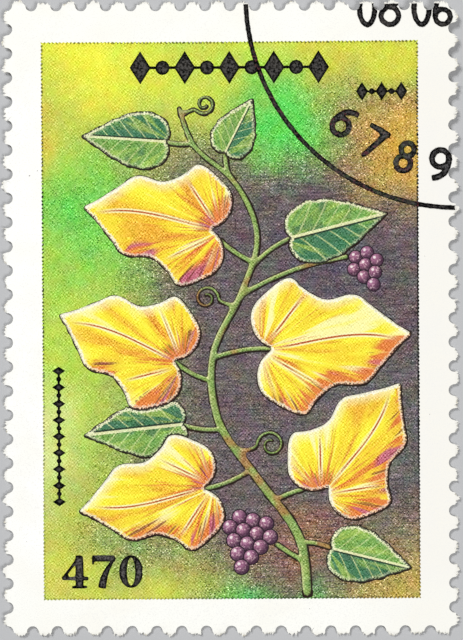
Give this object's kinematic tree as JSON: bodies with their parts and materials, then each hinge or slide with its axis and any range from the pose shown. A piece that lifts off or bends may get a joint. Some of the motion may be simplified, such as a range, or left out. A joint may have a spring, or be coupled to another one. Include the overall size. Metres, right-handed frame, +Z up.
{
  "type": "postage stamp",
  "caption": "Used, perforated postage stamp lying face up, with a printed picture of a climbing vine, a plain number and a corner of a round postmark.",
  "frame": {"origin": "under the middle of the gummed back, on the surface that the stamp lies on", "axes": "+Z up through the printed face, +Y towards the stamp's top edge, +X to its right as read"},
  "size_m": [0.0302, 0.042, 0.0002],
  "materials": {
    "stamp_paper": "coated white paper with torn, fibrous tooth tips",
    "gum": "dry cream gum with a soft sheen",
    "ground_ink": "offset ink, airbrushed greens, yellow and dark plum in a fine dot screen",
    "golden_ink": "offset ink, golden yellow streaked with orange and rose",
    "green_ink": "offset ink, fresh greens with a pale rim",
    "stem_ink": "offset ink, olive green with a pale edge",
    "berry_ink": "offset ink, dark plum with small highlights",
    "black_ink": "solid black offset ink",
    "postmark_ink": "black handstamp ink, slightly uneven"
  },
  "bodies": {
    "root": {"paper_sheet": "stamp_paper", "gum_film": "gum", "picture_ground": "ground_ink", "golden_leaf_1": "golden_ink", "golden_leaf_2": "golden_ink", "golden_leaf_3": "golden_ink", "golden_leaf_4": "golden_ink", "golden_leaf_5": "golden_ink", "green_leaf_1": "green_ink", "green_leaf_2": "green_ink", "green_leaf_3": "green_ink", "green_leaf_4": "green_ink", "green_leaf_5": "green_ink", "vine_stem": "stem_ink", "berry_bunch_1": "berry_ink", "berry_bunch_2": "berry_ink", "top_ornament_row": "black_ink", "corner_ornament": "black_ink", "side_ornament_line": "black_ink", "number_four": "black_ink", "number_seven": "black_ink", "number_zero": "black_ink", "postmark_ring": "postmark_ink", "postmark_six": "postmark_ink", "postmark_seven": "postmark_ink", "postmark_eight": "postmark_ink", "postmark_nine": "postmark_ink", "postmark_date_1": "postmark_ink", "postmark_date_2": "postmark_ink", "postmark_date_3": "postmark_ink", "postmark_date_4": "postmark_ink"}
  },
  "joints": []
}
